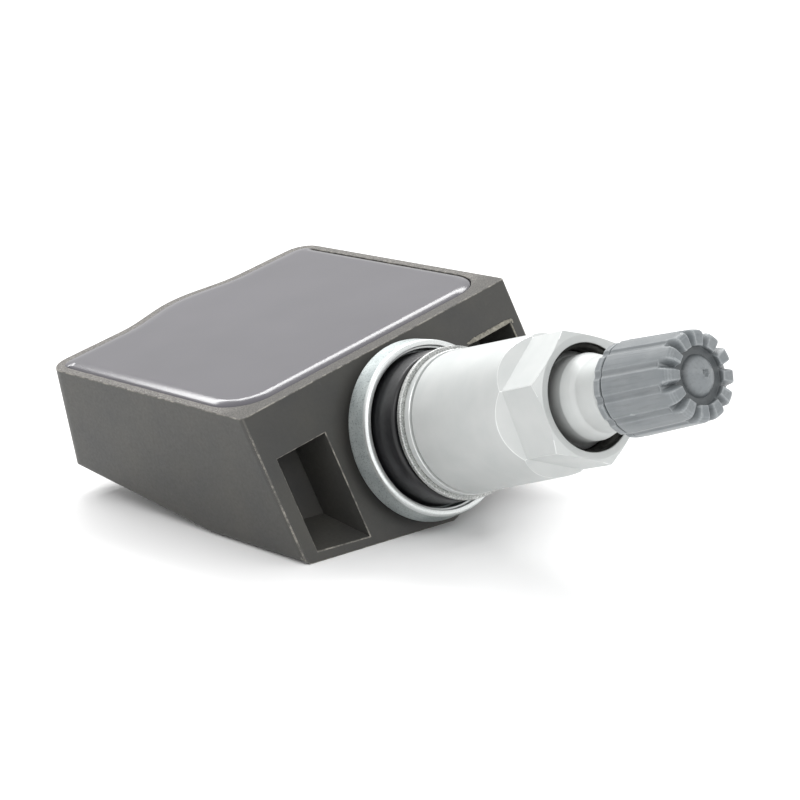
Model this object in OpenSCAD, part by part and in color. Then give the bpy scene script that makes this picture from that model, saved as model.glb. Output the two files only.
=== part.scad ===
// Tyre pressure sensor with a metal valve stem, lying on the left facet of its underside.
// The sensor's own frame has X across the housing, Y to the back, Z up, and its origin
// in the middle of the top front edge. The stem's frame has its Z along the stem,
// outwards, from the point where the stem's axis meets the front face.

/* [Housing] */
// Width across the housing
body_w = 45.1; // [40:0.1:52]
// Length of the open top, from the front edge to the back wall
body_l = 39.5; // [34:0.1:46]
// Height of the front face at its side edges, measured along the face
side_h = 18.9; // [18:0.1:24]
// Slope of the two facets of the underside, down to the middle ridge
facet_angle = 11.4; // [8:0.1:14]
// How far the front face leans, its foot forward
face_tilt = 18.4; // [12:0.1:24]
// How far the back wall leans, its foot backward
back_lean = 4; // [0:0.5:8]
// Where the rear half of the underside starts to rise
rise_start = 12; // [9:0.1:18]
// Slope of the rear half of the underside
rise_angle = 8; // [4:0.5:10]
// Height of the bulge in the middle of the back wall
bulge_h = 1.95; // [1:0.05:3]
// Half of the width of that bulge
bulge_half = 10.4; // [8:0.1:14]
// Corner radius at the back of the housing
back_r = 3.1; // [2:0.1:4]
// Corner radius of the two upright front edges
front_r = 0.6; // [0.3:0.1:1.2]
// Radius of the lower side edges
foot_r = 1.5; // [0.8:0.1:2]
// Thickness of the side walls
side_t = 1.2; // [1:0.1:1.8]
// Thickness of the back wall
back_t = 1.6; // [1:0.1:2.2]
// Thickness of the floor
floor_t = 1.5; // [1.2:0.1:2]
// Width of the rim along the front edge
front_rim = 1.85; // [1.4:0.05:2.4]
// Inner corner radius of the rim at the front
rim_front_r = 5.2; // [3.5:0.1:6]
// Inner corner radius of the rim at the back
rim_back_r = 2; // [1.2:0.1:2.8]
// Depth of the shallow shelf behind the front rim
shelf_d = 4.4; // [3.6:0.1:5]
// Thickness of the solid front block, from the front edge back
block_l = 8.6; // [8:0.1:10]

/* [Pockets] */
// Distance from the side edge to the left pocket
left_in = 2.4; // [2:0.1:3.2]
// Width of the left pocket
left_w = 7.7; // [6:0.1:8.2]
// Distance along the face from the top edge to the left pocket
left_top = 6.15; // [5.6:0.05:7]
// Distance from the side edge to the right pocket
right_in = 2; // [1.8:0.1:3.2]
// Width of the right pocket
right_w = 8.1; // [6:0.1:8.4]
// Distance along the face from the top edge to the right pocket
right_top = 5.4; // [5:0.05:7]
// Wall between a pocket and the underside, measured along the face
pocket_floor = 1.25; // [1:0.05:2]
// Depth of a pocket, square to the face
pocket_d = 7.3; // [5:0.1:7.6]
// How far a pocket's floor climbs inwards
pocket_climb = 9; // [4:1:12]

/* [Pressure port] */
// Distance of the port from the middle plane
port_x = 13; // [11:0.5:15]
// Distance of the port from the top front edge
port_y = 25; // [22:0.5:28]
// Radius of the port's hole
port_r = 0.8; // [0.5:0.1:1.2]
// Outer radius of the chimney that leads the port to its chip
chimney_r = 2.6; // [2.2:0.1:3]
// Radius of the filter's recess in the underside
filter_r = 2; // [1.6:0.1:2.4]
// Depth of that recess at its middle
filter_recess = 0.8; // [0.6:0.05:1]
// Thickness of the filter
filter_t = 0.3; // [0.2:0.05:0.4]

/* [Stem seat] */
// Distance along the face from the top edge to the stem's axis
seat_v = 11.55; // [11:0.05:12]
// Radius of the round pad that the seal cup stands on
pad_r = 9.7; // [8.5:0.1:10.2]
// Height of that pad
pad_h = 1.5; // [1:0.1:2]
// Width of the air slot across the pad
slot_w = 2; // [1.4:0.1:2.6]

/* [Stem] */
// Radius of the stem's thread under the collar nut
shank_r = 5.62; // [5.2:0.02:5.66]
// Place of the thread's outer end
shank_end = 30.4; // [28:0.1:31]
// Radius of the plain stretch in front of the thread
land_r = 4.94; // [4.7:0.02:5.1]
// Place where that stretch ends
land_end = 33; // [32:0.1:33.4]
// Radius of the step in front of it
step_r = 4.57; // [4.45:0.01:4.7]
// Place of that step
step_at = 34.2; // [33.8:0.1:34.6]
// Radius of the neck
neck_r = 4.3; // [4.1:0.02:4.4]
// Place where the neck ends
neck_end = 37.6; // [37:0.1:38]
// Radius of the valve thread under the cap
valve_r = 3.85; // [3.6:0.01:3.9]
// Place of the stem's outer end
stem_end = 47.4; // [46.8:0.1:47.6]
// Radius of the head that is moulded into the front block
root_r = 6.6; // [6.2:0.1:7.2]
// Radius of the groove behind the head, which the plastic grips
groove_r = 5; // [4.6:0.1:5.6]
// Depth of the head's inner end below the face
root_d = 7.6; // [6.5:0.1:8]
// Length of the head
root_l = 2.6; // [2:0.1:3.2]
// Depth of the shoulder under the seal cup below the face
shoulder_d = 1.8; // [1.2:0.1:2.4]
// Radius of the air passage through the stem
air_r = 1.2; // [0.9:0.05:1.4]
// Radius of the cross hole that lets the air out under the cup
vent_r = 0.6; // [0.4:0.05:0.7]

/* [Valve core] */
// Radius of the stem's bore round the core's thread
core_bore_r = 2.65; // [2.5:0.05:2.8]
// Radius of the core's threaded head
core_head_r = 2.58; // [2.4:0.02:2.6]
// Length of that head
core_head_l = 4; // [3:0.1:5]
// How far the head lies below the stem's end
core_sink = 0.6; // [0.4:0.1:1]
// Length of the stem's wide bore
core_bore_l = 8.4; // [7:0.1:9]
// Radius of the narrower bore behind it
seat_bore_r = 2.15; // [2:0.05:2.3]
// Radius of the core's tube
tube_r = 1.8; // [1.6:0.05:1.9]
// Radius of the room for the spring in the tube
spring_room_r = 1.35; // [1.2:0.05:1.4]
// Length of the tube behind the head
tube_l = 10.4; // [9:0.1:11]
// Thickness of the tube's end
tube_end_t = 0.8; // [0.6:0.1:1]
// Radius of the pin
pin_r = 0.5; // [0.4:0.02:0.6]
// Radial clearance round the pin
pin_gap = 0.06; // [0.03:0.01:0.1]
// Radius of the pin's collar
collar_r = 1.15; // [1:0.05:1.2]
// Thickness of the pin's collar
collar_t = 0.5; // [0.3:0.1:0.8]
// How far the pin's tip lies below the stem's end
pin_sink = 0.3; // [0.2:0.1:0.6]
// Travel of the pin
pin_travel = 1.2; // [0.8:0.1:1.4]
// Radius of the pin's rubber seat
pin_seat_r = 1.75; // [1.6:0.05:1.85]
// Thickness of the pin's rubber seat
pin_seat_t = 1.6; // [1.2:0.1:2]
// Height of the gasket round the core's tube
core_gasket_h = 1.4; // [1:0.1:1.8]
// Radius of the spring's wire
wire_r = 0.13; // [0.08:0.01:0.16]
// Number of turns of the spring
spring_turns = 7; // [5:1:9]

/* [Seal] */
// Radius of the cup at its back edge
cup_back_r = 11.3; // [10.8:0.05:11.4]
// Radius of the cup below its rounded rim
cup_front_r = 10.75; // [10.5:0.05:10.8]
// Radius of the cup's rounded rim
cup_round = 0.55; // [0.35:0.05:0.6]
// Height of the cup
cup_h = 3.1; // [2.6:0.1:3.6]
// Thickness of the cup's floor
cup_floor = 0.9; // [0.7:0.1:1.2]
// Radius of the cup's inner wall
cup_inner_r = 10.05; // [9.9:0.05:10.1]
// Width of the fine inner ring below the cup's rim
lip_w = 0.3; // [0.2:0.05:0.4]
// How far that ring lies below the rim
lip_sink = 0.5; // [0.3:0.05:0.8]
// Radius of the grommet
grommet_r = 9.5; // [9.2:0.05:9.6]
// Radius of the grommet's front edge
grommet_front_r = 9.2; // [8.6:0.05:9.3]
// Place of the grommet's front face
grommet_end = 7.9; // [7:0.1:8]
// Radius of the bead round the grommet's front edge
grommet_round = 0.5; // [0.3:0.1:0.8]

/* [Collar nut] */
// Clearance between the grommet and the washer
washer_gap = 0.8; // [0.6:0.1:1.2]
// Radius of the washer
washer_r = 9.3; // [9:0.05:9.5]
// Thickness of the washer
washer_t = 0.65; // [0.5:0.05:0.9]
// Radius of the nut's inner end ring
ring_r = 8.78; // [8.7:0.02:8.9]
// Width of that ring
ring_w = 1.05; // [0.8:0.05:1.3]
// Width of the fine groove in front of the ring
nut_groove_w = 0.3; // [0.2:0.05:0.4]
// Depth of that groove
nut_groove_d = 0.3; // [0.15:0.05:0.4]
// Radius of the sleeve next to the groove
sleeve_back_r = 8.62; // [8.5:0.02:8.7]
// Radius of the sleeve at the hexagon
sleeve_front_r = 8.28; // [8.2:0.02:8.4]
// Width across the hexagon's flats
hex_af = 14; // [13.6:0.1:14.2]
// Place where the flats start
flat_at = 26.8; // [25:0.1:28]
// Slope of the shoulder behind each flat
shoulder_angle = 46; // [35:1:60]
// Place of the nut's outer face
nut_end = 32.5; // [32:0.1:33]
// Slope of the outer chamfer
chamfer_angle = 30; // [20:1:40]
// Turn of the hexagon about the stem
hex_turn = -3.3; // [-30:0.1:30]
// Radial clearance between the nut's bore and the stem's thread
thread_gap = 0.08; // [0.04:0.01:0.1]
// Radius of the counterbore at the nut's inner end
counter_r = 6.4; // [6.1:0.1:7]
// Depth of that counterbore
counter_d = 3; // [2:0.1:5]

/* [Cap] */
// Place of the cap's open end
cap_start = 38.9; // [38.3:0.1:39.3]
// Radius of the flange at the open end
flange_r = 5.35; // [5.2:0.01:5.4]
// Thickness of that flange
flange_t = 1; // [0.8:0.1:1.4]
// Width of the groove in front of the flange
cap_groove_w = 0.3; // [0.2:0.05:0.4]
// Radius of that groove
cap_groove_r = 4.95; // [4.8:0.02:5]
// Radius of the cap's body next to the groove
body_back_r = 5.36; // [5.2:0.01:5.4]
// Radius of the cap's body below its rounded end
body_front_r = 4.98; // [4.8:0.02:5.1]
// Place of the tips of the teeth
cap_end = 50.3; // [50:0.1:51]
// Radius of the cap's rounded outer edge
cap_round = 0.6; // [0.4:0.1:1]
// Number of ribs and teeth
teeth = 12; // [8:1:16]
// Turn of the first rib about the stem
rib_turn = 6; // [0:1:30]
// Width of the slots between the teeth
tooth_slot = 0.95; // [0.7:0.05:1.1]
// Slope of the slots' floors
slot_slope = 31; // [20:1:40]
// Radius of the recess inside the teeth
recess_r = 3.16; // [2.9:0.02:3.3]
// Depth of that recess
recess_d = 0.35; // [0.2:0.05:0.6]
// Radius of the dome in the recess
dome_r = 2.4; // [2:0.05:2.6]
// Height of the dome
dome_h = 0.9; // [0.5:0.05:1.2]
// Radius of the dimple in the dome
dimple_r = 0.55; // [0.35:0.05:0.7]
// Radius of the groove between two ribs
rib_groove_r = 0.5; // [0.3:0.05:0.7]
// Depth of that groove
rib_groove_d = 0.16; // [0.08:0.02:0.24]
// Radius of the notches in the flange, in line with the grooves
notch_r = 0.6; // [0.4:0.05:0.8]
// Depth of those notches
notch_d = 0.3; // [0.15:0.05:0.4]
// Radial clearance between the cap and the valve thread
cap_gap = 0.1; // [0.06:0.01:0.15]
// Radius of the gasket in the cap
gasket_r = 3.7; // [3.4:0.05:3.8]
// Thickness of the gasket in the cap
gasket_t = 0.8; // [0.5:0.1:0.9]
// Clearance on both faces of that gasket
gasket_gap = 0.15; // [0.1:0.05:0.2]

/* [Electronics] */
// Clearance between the resin and what it holds
fill_gap = 0.05; // [0.02:0.01:0.1]
// How far the resin lies below the rim
fill_sink = 0.3; // [0.2:0.05:0.6]
// Width of the circuit board
board_w = 38; // [34:0.5:40]
// Thickness of the circuit board
board_t = 1; // [0.8:0.1:1.6]
// Depth of the board's upper face below the rim
board_d = 5.6; // [5.2:0.1:6.2]
// Distance of the board from the front edge
board_y = 10.8; // [10.2:0.1:12]
// Distance of the board from the back wall at the open top
board_back = 3.1; // [2:0.1:4]
// Radius of the coin cell
cell_r = 11.5; // [9:0.1:12]
// Thickness of the coin cell
cell_t = 5; // [3.2:0.1:5.4]
// Clearance between the board and the upper strip
cell_gap = 0.15; // [0.1:0.05:0.3]
// Place of the cell's axis left of the middle plane
cell_x = 6; // [4:0.5:7]
// Width of the welded strips
tab_w = 4; // [3:0.5:5]
// Thickness of the welded strips
tab_t = 0.2; // [0.15:0.05:0.3]
// Width and length of the sensor chip
sensor_w = 6.4; // [5:0.1:7]
// Height of the sensor chip
sensor_h = 2.6; // [2:0.1:3.2]
// Width and length of the radio chip
radio_w = 5; // [4:0.5:6]
// Height of the radio chip
radio_h = 1; // [0.8:0.1:1.4]
// Length of the crystal
crystal_l = 3.2; // [2.5:0.1:4]
// Width of the crystal
crystal_w = 2.5; // [2:0.1:3]
// Height of the crystal
crystal_h = 0.8; // [0.6:0.1:1.2]
// Length of the wake-up coil's core
coil_l = 11; // [9:0.5:12]
// Radius of the core's middle
coil_core_r = 0.8; // [0.6:0.1:1]
// Width and height of the core's ends
coil_end_w = 3; // [2.6:0.1:3.4]
// Thickness of the core's ends
coil_end_t = 1.4; // [1:0.1:2]
// Radius of the winding
winding_r = 1.4; // [1.2:0.05:1.45]
// Number of small capacitors
cap_count = 6; // [4:1:8]
// Length of a small capacitor
chip_l = 1.6; // [1:0.1:2]
// Width and height of a small capacitor
chip_w = 0.8; // [0.5:0.1:1]
// Pitch of the row of capacitors
chip_pitch = 2.4; // [1.6:0.1:3]
// Width of the strip that joins the board to the stem
strap_w = 2; // [1.5:0.1:3]
// Thickness of that strip
strap_t = 0.3; // [0.2:0.05:0.4]

/* [Hidden] */
$fn = 72;
// Overrun of a cut past the face that it opens
eps = 0.5;
// A length that reaches past the whole part
far = 120;

// Height of the side edges and depth of the ridge, square to the top
side_z = side_h * cos(face_tilt);
ridge_z = side_z + body_w / 2 * tan(facet_angle);

// Lift and shift that bring the left facet onto the floor and the box's middle over the origin
lift = ridge_z * cos(facet_angle);
left_x = -body_w / 2 * cos(facet_angle);
foot_z = side_z + foot_r * tan(facet_angle) - foot_r / cos(facet_angle);
right_x = (body_w / 2 - foot_r) * cos(facet_angle) + foot_z * sin(facet_angle) + foot_r;
mid_x = (left_x + right_x) / 2;
heel_z = ridge_z - (body_l + bulge_h - rise_start) * tan(rise_angle);
back_y = body_l + bulge_h + heel_z * tan(back_lean);
tip_y = -seat_v * sin(face_tilt) - cap_end * cos(face_tilt) - (body_front_r - cap_round) * sin(face_tilt);
mid_y = (back_y + tip_y) / 2;

// Arc radius of the back wall's S-curves
bulge_r = (pow(bulge_half / 2, 2) + pow(bulge_h / 2, 2)) / bulge_h;

// Stations along the stem
cup_back = pad_h;
cup_end = cup_back + cup_h;
washer_start = grommet_end + washer_gap;
nut_start = washer_start + washer_t;
groove_end = nut_start + ring_w + nut_groove_w;
nut_bore_r = shank_r + thread_gap;
cap_bore_r = valve_r + cap_gap;
gasket_start = stem_end + gasket_gap;
cap_inner_end = gasket_start + gasket_t + gasket_gap;
recess_floor = cap_end - recess_d;
body_start = cap_start + flange_t + cap_groove_w;
body_taper = atan((body_back_r - body_front_r) / (cap_end - body_start));

// Stations along the valve core
core_top = stem_end - core_sink;
head_end = core_top - core_head_l;
tube_end = head_end - tube_l;
seat_bore_start = stem_end - core_bore_l;
pin_tip = stem_end - pin_sink;
pin_seat_end = tube_end - pin_gap;
pin_seat_start = pin_seat_end - pin_seat_t;
collar_end = head_end - pin_gap;
collar_start = collar_end - collar_t;
spring_start = tube_end + tube_end_t + wire_r + pin_gap;
spring_end = collar_start - wire_r - pin_gap;
air_start = pin_seat_start - pin_travel - 2 * eps;
vent_at = pad_h / 2;

// Places in the housing
board_z = -board_d - board_t;
board_l = body_l - back_t - board_back - board_y;
cell_top = board_z - cell_gap - tab_t;
cell_y = (block_l + body_l - back_t) / 2;
sensor_bottom = board_z - sensor_h;
port_floor_z = -(ridge_z - port_x * tan(facet_angle)) + (port_y - rise_start) * tan(rise_angle);

// Puts a piece from the sensor's frame into the resting frame
module at_rest() {
    translate([-mid_x, -mid_y, lift])
        rotate([0, -facet_angle, 0])
            children();
}

// Puts a piece from the stem's frame into the resting frame
module on_stem() {
    at_rest()
        seat_frame()
            children();
}

// The stem's frame within the sensor's frame
module seat_frame() {
    translate([0, -seat_v * sin(face_tilt), -seat_v * cos(face_tilt)])
        rotate([90 - face_tilt, 0, 0])
            children();
}

// A frame on the front face, its Y up along the face and its Z outwards
module face_frame() {
    rotate([90 - face_tilt, 0, 0])
        children();
}

// Points on an arc about a point, from one angle to another
function arc(mid, r, from, to, steps = 6) =
    [for (i = [0 : steps]) let (a = from + (to - from) * i / steps) mid + r * [cos(a), sin(a)]];

// Points along the back wall: a round bulge that runs out into the straight wall on both sides
function bulge_line(back) =
    [for (i = [-12 : 12]) [bulge_half * i / 12, back + bulge_h * (1 + cos(180 * i / 12)) / 2]];

// Outline of the back half seen from above, inset by walls, with corner radius r
module back_outline(half_w, back, r) {
    polygon(concat(
        [[half_w, -far / 2], [-half_w, -far / 2]],
        arc([-half_w + r, back - r], r, 180, 90),
        bulge_line(back),
        arc([half_w - r, back - r], r, 90, 0)
    ));
}

// Section across the housing, with its ridge down and its lower side edges rounded
module ridge_section(half_w, side, ridge, r) {
    slope = atan((ridge - side) / half_w);
    arc_x = half_w - r;
    arc_z = -side - r * tan(slope) + r / cos(slope);
    polygon(concat(
        [[-half_w, far]],
        arc([-arc_x, arc_z], r, 180, 270 - slope),
        [[0, -ridge]],
        arc([arc_x, arc_z], r, slope - 90, 0),
        [[half_w, far]]
    ));
}

// A solid bounded by the ridged underside, front and rear, open upwards
module ridge_solid(half_w, side, ridge, r) {
    intersection() {
        translate([0, far / 2, 0])
            rotate([90, 0, 0])
                linear_extrude(height = far)
                    ridge_section(half_w, side, ridge, r);
        translate([0, rise_start, -side])
            rotate([rise_angle, 0, 0])
                translate([0, far / 2, side])
                    rotate([90, 0, 0])
                        linear_extrude(height = far)
                            ridge_section(half_w, side, ridge, r);
    }
}

// The housing's outer form
module housing_block() {
    intersection() {
        ridge_solid(body_w / 2, side_z, ridge_z, foot_r);
        translate([0, body_l, 0])
            rotate([back_lean, 0, 0])
                translate([0, -body_l, -far / 2])
                    linear_extrude(height = far)
                        back_outline(body_w / 2, body_l, back_r);
        face_frame()
            rotate([90, 0, 0])
                translate([0, 0, -far / 2])
                    linear_extrude(height = far)
                        front_outline();
        translate([-far / 2, -far / 2, -far])
            cube([far, far, far]);
    }
}

// Section square to the front face's height: a long block with rounded front corners
module front_outline() {
    half = body_w / 2;
    polygon(concat(
        [[half, -far], [-half, -far]],
        arc([-half + front_r, -front_r], front_r, 180, 90, 3),
        arc([half - front_r, -front_r], front_r, 90, 0, 3)
    ));
}

// The room inside the housing, inset by a gap
module cavity(gap) {
    intersection() {
        ridge_solid(body_w / 2 - side_t - gap, side_z - floor_t - gap, ridge_z - floor_t - gap, foot_r);
        translate([0, body_l, 0])
            rotate([back_lean, 0, 0])
                translate([0, -body_l, -far / 2])
                    linear_extrude(height = far)
                        back_outline(body_w / 2 - side_t - gap, body_l - back_t - gap, rim_back_r);
        difference() {
            translate([0, 0, -far])
                linear_extrude(height = far)
                    rim_front(gap);
            translate([-far / 2, -far, -far - shelf_d + gap])
                cube([far, far + block_l + gap, far]);
        }
    }
}

// Plan of the room inside the rim, with round front corners
module rim_front(gap) {
    half = body_w / 2 - side_t - gap;
    mid_y = front_rim + gap + rim_front_r;
    polygon(concat(
        [[half, far], [-half, far]],
        arc([-half + rim_front_r, mid_y], rim_front_r, 180, 270, 9),
        arc([half - rim_front_r, mid_y], rim_front_r, 270, 360, 9)
    ));
}

// A pocket in the left half of the front face, its floor parallel to the underside
module pocket(inset, width, top) {
    under = pocket_floor * cos(face_tilt);
    intersection() {
        face_frame()
            translate([-body_w / 2 + inset, -far, -pocket_d])
                cube([width, far - top, pocket_d + eps]);
        translate([0, -side_h * sin(face_tilt), -side_z])
            rotate([pocket_climb, 0, 0])
                translate([0, far / 2, side_z])
                    rotate([90, 0, 0])
                        linear_extrude(height = far)
                            ridge_section(body_w / 2, side_z - under, ridge_z - under, foot_r);
    }
}

// Outline of the stem turned about its axis, grown by a gap, without its bores
module stem_profile(gap) {
    polygon([
        [0, -root_d - gap], [root_r + gap, -root_d - gap], [root_r + gap, -root_d + root_l + gap],
        [groove_r + gap, -root_d + root_l + gap], [groove_r + gap, -shoulder_d - gap],
        [shank_r + gap, -shoulder_d - gap], [shank_r + gap, shank_end - shank_r + land_r],
        [land_r + gap, shank_end], [land_r + gap, land_end], [step_r + gap, step_at],
        [neck_r + gap, step_at + land_r - neck_r], [neck_r + gap, neck_end],
        [valve_r + gap, neck_end + neck_r - valve_r], [valve_r + gap, stem_end - valve_r / 8],
        [valve_r * 7 / 8 + gap, stem_end], [0, stem_end]
    ]);
}

// The plastic that leads air from the underside to the sensor chip
module chimney(r) {
    translate([port_x, port_y, -far])
        cylinder(r = r, h = far + sensor_bottom);
}

// The recess for the filter in the underside
module filter_place(r, depth) {
    translate([port_x, port_y, port_floor_z - far + depth])
        cylinder(r = r, h = far);
}

module housing() {
    color("#5f5d58")
        at_rest()
            difference() {
                union() {
                    difference() {
                        housing_block();
                        cavity(0);
                    }
                    intersection() {
                        housing_block();
                        chimney(chimney_r);
                    }
                    seat_frame()
                        translate([0, 0, -eps])
                            cylinder(r = pad_r, h = pad_h + eps);
                }
                pocket(left_in, left_w, left_top);
                mirror([1, 0, 0])
                    pocket(right_in, right_w, right_top);
                seat_frame() {
                    rotate_extrude()
                        stem_profile(fill_gap);
                    translate([-pad_r - eps, -slot_w / 2, 0])
                        cube([2 * (pad_r + eps), slot_w, pad_h + eps]);
                }
                chimney(port_r);
                filter_place(filter_r, filter_recess);
                strap_path(strap_w / 2 + fill_gap, strap_t / 2 + fill_gap);
            }
}

// A box that stands on or hangs from the board, grown by a gap
module part_box(x, y, z, size, gap) {
    translate([x - size[0] / 2 - gap, y - size[1] / 2 - gap, z - gap])
        cube([size[0] + 2 * gap, size[1] + 2 * gap, size[2] + 2 * gap]);
}

module potting() {
    color("#96959a")
        at_rest()
            difference() {
                intersection() {
                    cavity(fill_gap);
                    translate([-far / 2, -far / 2, -far - fill_sink])
                        cube(far);
                }
                board_form(fill_gap);
                cell_form(fill_gap);
                tab_top_form(fill_gap);
                tab_bottom_form(fill_gap);
                sensor_form(fill_gap);
                radio_form(fill_gap);
                crystal_form(fill_gap);
                capacitor_row(fill_gap);
                coil_room(fill_gap);
                chimney(chimney_r + fill_gap);
                strap_path(strap_w / 2 + fill_gap, strap_t / 2 + fill_gap);
            }
}

module board_form(gap) {
    part_box(0, board_y + board_l / 2, board_z, [board_w, board_l, board_t], gap);
}

module circuit_board() {
    color("#2f6b45")
        at_rest()
            board_form(0);
}

module cell_form(gap) {
    translate([-cell_x, cell_y, cell_top - cell_t - gap])
        cylinder(r = cell_r + gap, h = cell_t + 2 * gap);
}

module battery() {
    color("#b9bcc0")
        at_rest()
            cell_form(0);
}

// Strip on the cell's upper face, out to the board's edge
module tab_top_form(gap) {
    part_box(-cell_x, cell_y, cell_top, [tab_w, 2 * cell_r - tab_w, tab_t], gap);
}

module battery_tab_top() {
    color("#c8c8c4")
        at_rest()
            tab_top_form(0);
}

// Strip under the cell, with an upright leg to the board
module tab_bottom_form(gap) {
    reach = cell_r + tab_t;
    low = cell_top - cell_t - tab_t;
    part_box(-cell_x - reach / 2, cell_y, low, [reach, tab_w, tab_t], gap);
    part_box(-cell_x - reach - tab_t / 2, cell_y, low, [tab_t, tab_w, board_z - low], gap);
}

module battery_tab_bottom() {
    color("#c8c8c4")
        at_rest()
            tab_bottom_form(0);
}

module sensor_form(gap) {
    part_box(port_x, port_y, sensor_bottom, [sensor_w, sensor_w, sensor_h], gap);
}

module sensor_chip() {
    color("#26272a")
        at_rest()
            difference() {
                sensor_form(0);
                translate([port_x, port_y, sensor_bottom - eps])
                    cylinder(r = port_r, h = sensor_h / 2 + eps);
            }
}

module radio_form(gap) {
    part_box(port_x, board_y + radio_w / 2 + chip_w, board_z - radio_h, [radio_w, radio_w, radio_h], gap);
}

module radio_chip() {
    color("#26272a")
        at_rest()
            radio_form(0);
}

module crystal_form(gap) {
    part_box(-cell_x, cell_y, -board_d, [crystal_l, crystal_w, crystal_h], gap);
}

module crystal() {
    color("#c9cbce")
        at_rest()
            crystal_form(0);
}

module capacitor_row(gap) {
    for (i = [0 : cap_count - 1])
        part_box(chip_pitch * (i - (cap_count - 1) / 2), board_y + chip_l, -board_d,
            [chip_w, chip_l, chip_w], gap);
}

module capacitors() {
    color("#a58f6c")
        at_rest()
            capacitor_row(0);
}

// Places a piece of the wake-up coil, its axis along X on top of the board
module coil_place() {
    translate([port_x - coil_end_w, board_y + board_l - coil_end_w, -board_d + coil_end_w / 2])
        rotate([0, 90, 0])
            children();
}

module wake_coil_core() {
    color("#3a3a3c")
        at_rest()
            coil_place() {
                cylinder(r = coil_core_r, h = coil_l - coil_end_t, center = true);
                for (side = [-1, 1])
                    translate([0, 0, side * (coil_l - coil_end_t) / 2])
                        cube([coil_end_w, coil_end_w, coil_end_t], center = true);
            }
}

module wake_coil_winding() {
    color("#b0703a")
        at_rest()
            coil_place()
                difference() {
                    cylinder(r = winding_r, h = coil_l - 2 * coil_end_t - 2 * fill_gap, center = true);
                    cylinder(r = coil_core_r + fill_gap, h = coil_l, center = true);
                }
}

// The room that the resin leaves for the coil
module coil_room(gap) {
    coil_place()
        cube([coil_end_w + 2 * gap, coil_end_w + 2 * gap, coil_l + 2 * gap], center = true);
}

// Bent strip from the stem's root up to the board's underside, half a width and half a thickness
module strap_path(half_w, half_t) {
    root = [-seat_v * sin(face_tilt) + root_d * cos(face_tilt),
        -seat_v * cos(face_tilt) - root_d * sin(face_tilt)];
    bend_y = (block_l + board_y) / 2;
    bend = [bend_y, root[1] - (bend_y - root[0]) * tan(face_tilt)];
    rotate([90, 0, 90])
        translate([0, 0, -half_w])
            linear_extrude(height = 2 * half_w)
                polygon([
                    [root[0], root[1] - half_t], [bend[0] + half_t, bend[1] - half_t],
                    [bend[0] + half_t, board_z - strap_t / 2 - half_t],
                    [board_y + strap_w, board_z - strap_t / 2 - half_t],
                    [board_y + strap_w, board_z - strap_t / 2 + half_t],
                    [bend[0] - half_t, board_z - strap_t / 2 + half_t],
                    [bend[0] - half_t, bend[1] + half_t], [root[0], root[1] + half_t]
                ]);
}

module antenna_strap() {
    color("#c8a860")
        at_rest()
            difference() {
                strap_path(strap_w / 2, strap_t / 2);
                seat_frame()
                    rotate_extrude()
                        stem_profile(0);
            }
}

module port_filter() {
    color("#e6e4df")
        at_rest()
            translate([port_x, port_y, port_floor_z + filter_recess - filter_t])
                cylinder(r = filter_r - fill_gap, h = filter_t);
}

module valve_stem() {
    color("#d2d4d2")
        on_stem()
            difference() {
                rotate_extrude()
                    stem_profile(0);
                translate([0, 0, vent_at])
                    cylinder(r = air_r, h = far);
                translate([0, 0, air_start])
                    cylinder(r = seat_bore_r, h = far);
                translate([0, 0, seat_bore_start])
                    cylinder(r = core_bore_r, h = far);
                translate([0, 0, vent_at])
                    rotate([0, 90, 0])
                        cylinder(r = vent_r, h = far, center = true);
            }
}

module seal_cup() {
    color("#b4b8b8")
        on_stem()
            rotate_extrude()
                polygon(concat(
                    [[shank_r + fill_gap, cup_back], [cup_back_r, cup_back]],
                    arc([cup_front_r - cup_round, cup_end - cup_round], cup_round, 0, 90),
                    [[cup_inner_r, cup_end], [cup_inner_r, cup_end - lip_sink],
                        [cup_inner_r - lip_w, cup_end - lip_sink],
                        [cup_inner_r - lip_w, cup_back + cup_floor],
                        [shank_r + fill_gap, cup_back + cup_floor]]
                ));
}

module rubber_grommet() {
    color("#1d1d1f")
        on_stem()
            rotate_extrude()
                polygon(concat(
                    [[shank_r + fill_gap, cup_back + cup_floor], [grommet_r, cup_back + cup_floor]],
                    arc([grommet_front_r - grommet_round, grommet_end - grommet_round], grommet_round, 0, 90),
                    [[shank_r + fill_gap, grommet_end]]
                ));
}

module nut_washer() {
    color("#c4c6c5")
        on_stem()
            translate([0, 0, washer_start])
                difference() {
                    cylinder(r = washer_r, h = washer_t);
                    translate([0, 0, -eps])
                        cylinder(r = counter_r, h = washer_t + 2 * eps);
                }
}

// The six flats with the sloped shoulders behind them, as cuts
module flat_cuts() {
    half_af = hex_af / 2;
    out = ring_r - half_af + eps;
    for (k = [0 : 5])
        rotate([0, 0, hex_turn + 60 * k])
            rotate([90, 0, 0])
                translate([0, 0, -ring_r])
                    linear_extrude(height = 2 * ring_r)
                        polygon([
                            [half_af, flat_at], [half_af, nut_end + eps], [half_af + out, nut_end + eps],
                            [half_af + out, flat_at - out * tan(shoulder_angle)]
                        ]);
}

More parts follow.
